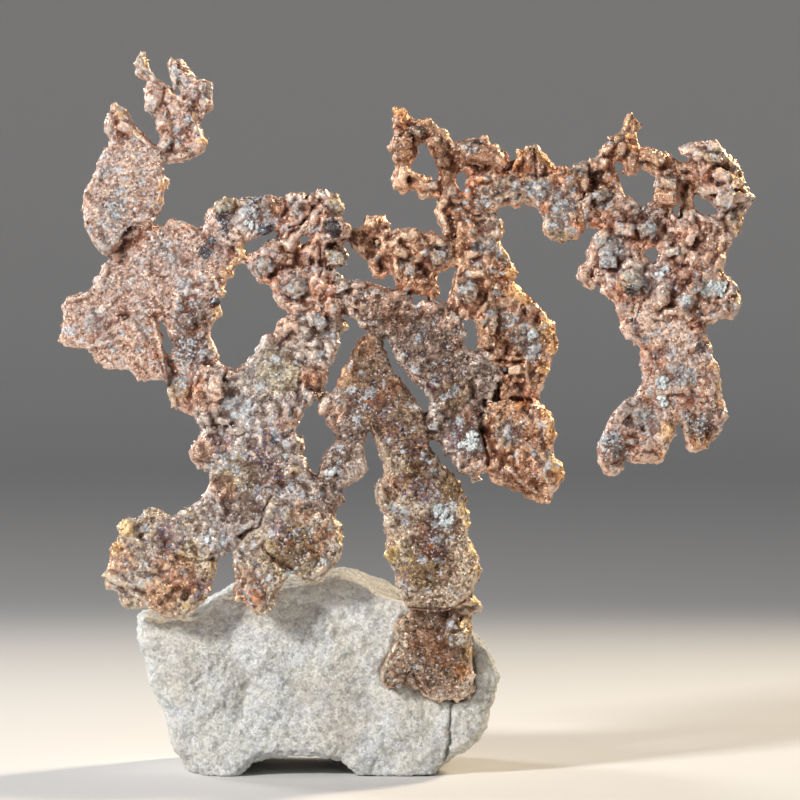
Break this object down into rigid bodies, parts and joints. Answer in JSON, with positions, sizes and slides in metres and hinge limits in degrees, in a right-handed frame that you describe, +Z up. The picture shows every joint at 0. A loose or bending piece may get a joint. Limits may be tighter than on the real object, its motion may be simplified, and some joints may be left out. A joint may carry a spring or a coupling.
{
  "type": "native copper crystal",
  "caption": "Branching sheet of native copper crystals rooted on a block of pale granular rock, standing upright as a display specimen.",
  "frame": {"origin": "middle of the bounding box's underside, on the ground between the feet of the rock", "axes": "+Z up, the pictured front faces -Y, +X to the viewer's right"},
  "size_m": [0.0876, 0.0332, 0.0911],
  "materials": {
    "matrix_rock": "rough grainy stone",
    "warm_copper": "crystalline native copper",
    "pink_copper": "crystalline native copper",
    "grey_copper": "native copper with grey patina",
    "iridescent_copper": "tarnished native copper"
  },
  "bodies": {
    "root": {"matrix_rock": "matrix_rock", "foot_strand": "iridescent_copper", "left_leg": "grey_copper", "hanging_lobe": "iridescent_copper", "trunk": "grey_copper", "left_foot": "iridescent_copper", "left_plate": "pink_copper", "upper_leaf": "pink_copper", "horns": "pink_copper", "bridge": "pink_copper", "top_cluster": "pink_copper", "middle_bridge": "warm_copper", "diagonal": "grey_copper", "strand": "warm_copper", "lower_right_lobe": "warm_copper", "stem": "warm_copper", "spray": "warm_copper", "crossbar": "warm_copper", "spire": "warm_copper", "crystal_chain": "warm_copper", "right_mass": "pink_copper", "shoulder": "pink_copper", "right_plate": "pink_copper", "tail": "pink_copper", "tail_spur": "pink_copper"}
  },
  "joints": []
}
